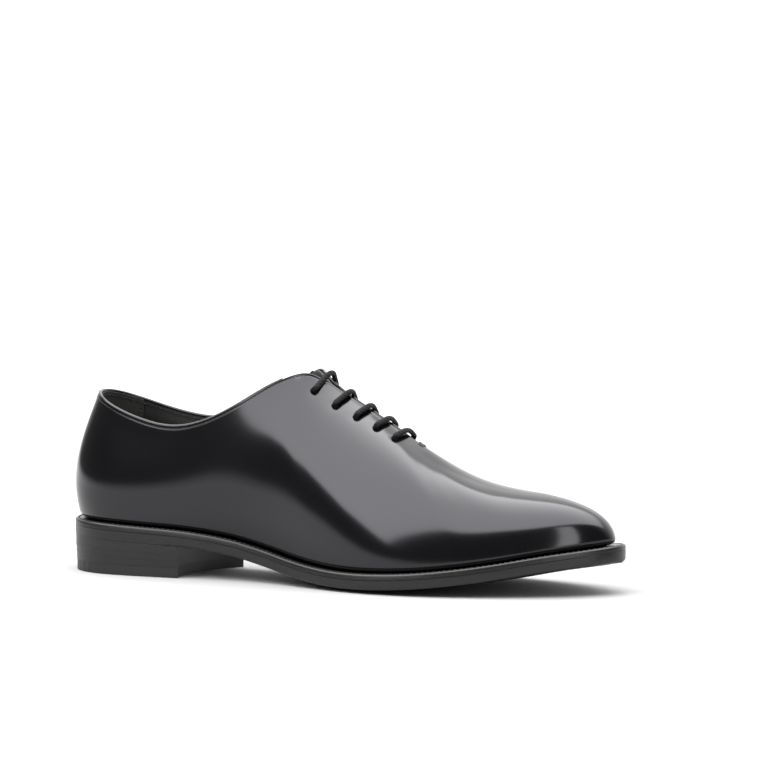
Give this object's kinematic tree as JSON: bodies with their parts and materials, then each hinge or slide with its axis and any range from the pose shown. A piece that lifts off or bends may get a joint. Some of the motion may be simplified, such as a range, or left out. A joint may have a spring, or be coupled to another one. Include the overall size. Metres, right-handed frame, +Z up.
{
  "type": "oxford shoe",
  "caption": "Low lace-up dress shoe for the right foot: a plain upper cut in one piece, closed over a tongue by straight laces, on a welted sole with a stacked block heel.",
  "frame": {"origin": "on the ground, under the middle of the sole's length and width", "axes": "+X along the shoe to the toe, +Y to the inner side of the foot, +Z up"},
  "size_m": [0.3071, 0.1044, 0.1075],
  "materials": {
    "upper_leather": "polished smooth black",
    "edge_leather": "folded and dyed edge, slightly shiny",
    "lining_leather": "matt dark lining",
    "grip_leather": "napped, matt",
    "stiffener_board": "raw",
    "stay_cloth": "woven tape",
    "thread": "waxed thread",
    "eyelet_metal": "black painted",
    "lace_cord": "waxed round lace",
    "aglet_plastic": "smooth",
    "welt_leather": "waxed edge",
    "insole_leather": "raw",
    "pad_foam": "open foam",
    "sock_leather": "matt",
    "shank_steel": "raw",
    "filler_board": "pressed leather board",
    "cork": "granulated cork",
    "sole_leather": "dyed and waxed edge",
    "heel_leather": "stacked, dyed and waxed edge",
    "top_piece_rubber": "matt",
    "nail_brass": "raw"
  },
  "bodies": {
    "shoe": {"upper": "upper_leather", "vamp_lining": "lining_leather", "quarter_lining": "lining_leather", "heel_grip": "grip_leather", "heel_counter": "stiffener_board", "toe_puff": "stiffener_board", "facing_stay_lateral": "stay_cloth", "facing_stay_medial": "stay_cloth", "collar_edge": "edge_leather", "back_tab": "upper_leather", "throat_tack": "thread", "eyelets": "eyelet_metal", "lace": "lace_cord", "aglets": "aglet_plastic", "welt": "welt_leather", "insole": "insole_leather", "heel_pad": "pad_foam", "sock_liner": "sock_leather", "shank": "shank_steel", "seat_filler": "filler_board", "cork_filler": "cork", "outsole": "sole_leather", "heel_lift_1": "heel_leather", "heel_lift_2": "heel_leather", "heel_lift_3": "heel_leather", "top_piece": "top_piece_rubber", "heel_nails": "nail_brass"},
    "tongue": {"tongue": "upper_leather", "tongue_lining": "lining_leather"}
  },
  "joints": [
    {"name": "tongue_hinge", "type": "hinge", "parent": "shoe", "child": "tongue", "pos_m": [0.049, 0.0018, 0.0615], "axis": [0, -1, 0], "range_deg": [0, 12], "stiffness_Nm_per_rad": 0.12, "springref_deg": -11.46}
  ]
}
